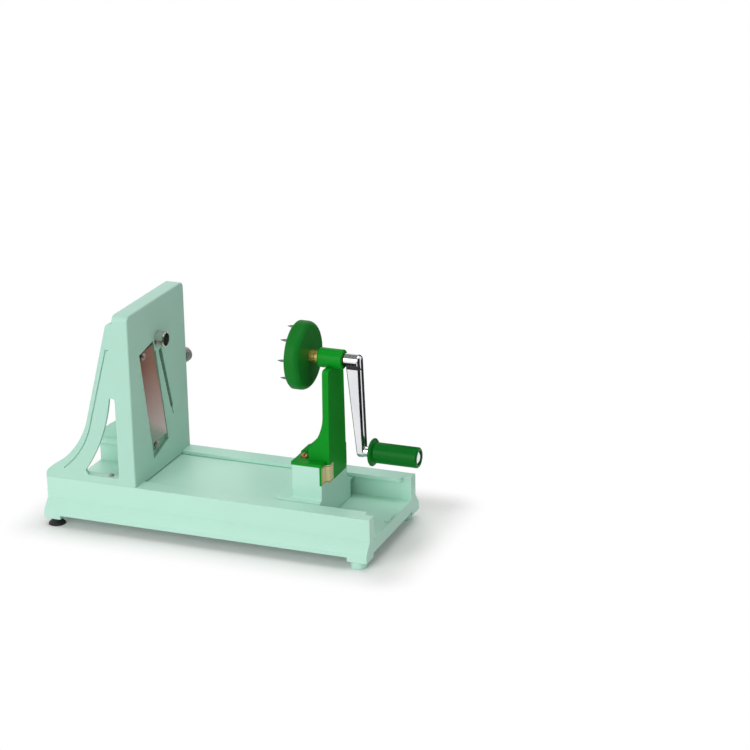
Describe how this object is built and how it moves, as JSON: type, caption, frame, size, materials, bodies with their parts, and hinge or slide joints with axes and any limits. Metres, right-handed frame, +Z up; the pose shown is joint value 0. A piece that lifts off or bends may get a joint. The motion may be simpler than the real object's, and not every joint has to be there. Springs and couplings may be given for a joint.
{
  "type": "rotary vegetable slicer",
  "caption": "Crank-turned countertop vegetable slicer: a spiked disc on a sliding carriage feeds the vegetable against an upright slicing blade on a railed base.",
  "frame": {"origin": "on the table, under the middle of the machine's overall box", "axes": "+X along the rails from the blade tower to the crank, +Y across the rails, +Z up"},
  "size_m": [0.3674, 0.141, 0.222],
  "materials": {
    "mint_plastic": "glossy moulded plastic, pale mint",
    "green_plastic": "glossy moulded plastic, deep green",
    "black_rubber": "black rubber",
    "blade_steel": "ground stainless steel",
    "chrome_metal": "polished chrome plate",
    "brass_metal": "plain brass"
  },
  "bodies": {
    "base": {"base_frame": "mint_plastic", "blade_tower": "mint_plastic", "tower_screws": "blade_steel", "slicing_blade": "blade_steel", "blade_screws": "blade_steel", "coring_ring": "blade_steel", "clamp_insert": "brass_metal", "suction_feet": "black_rubber", "plain_feet": "mint_plastic"},
    "comb": {"comb_blade": "blade_steel"},
    "clamp": {"clamp_thumbscrew": "blade_steel"},
    "carriage": {"carriage": "mint_plastic", "arm": "green_plastic", "arm_screws": "brass_metal", "front_bush": "brass_metal", "rear_bush": "brass_metal"},
    "crank": {"spindle_shaft": "blade_steel", "disc_collar": "brass_metal", "spike_disc": "green_plastic", "disc_spikes": "blade_steel", "crank_lever": "chrome_metal", "crank_set_screw": "blade_steel", "grip_washer": "blade_steel", "grip_axle": "chrome_metal"},
    "grip": {"grip": "green_plastic"}
  },
  "joints": [
    {"name": "carriage_slide", "type": "slide", "parent": "base", "child": "carriage", "axis": [1, 0, 0], "range_m": [-0.13, 0.052]},
    {"name": "crank_spin", "type": "hinge", "parent": "carriage", "child": "crank", "pos_m": [0.09632, 0, 0.1818], "axis": [1, 0, 0], "continuous": true},
    {"name": "grip_spin", "type": "hinge", "parent": "crank", "child": "grip", "pos_m": [0.16, 0, 0.0918], "axis": [1, 0, 0], "continuous": true},
    {"name": "comb_slide", "type": "slide", "parent": "base", "child": "comb", "axis": [1, 0, 0], "range_m": [0, 0.0036]},
    {"name": "clamp_turn", "type": "hinge", "parent": "base", "child": "clamp", "pos_m": [-0.09118, 0.06, 0.143], "axis": [0, 1, 0], "continuous": true}
  ]
}
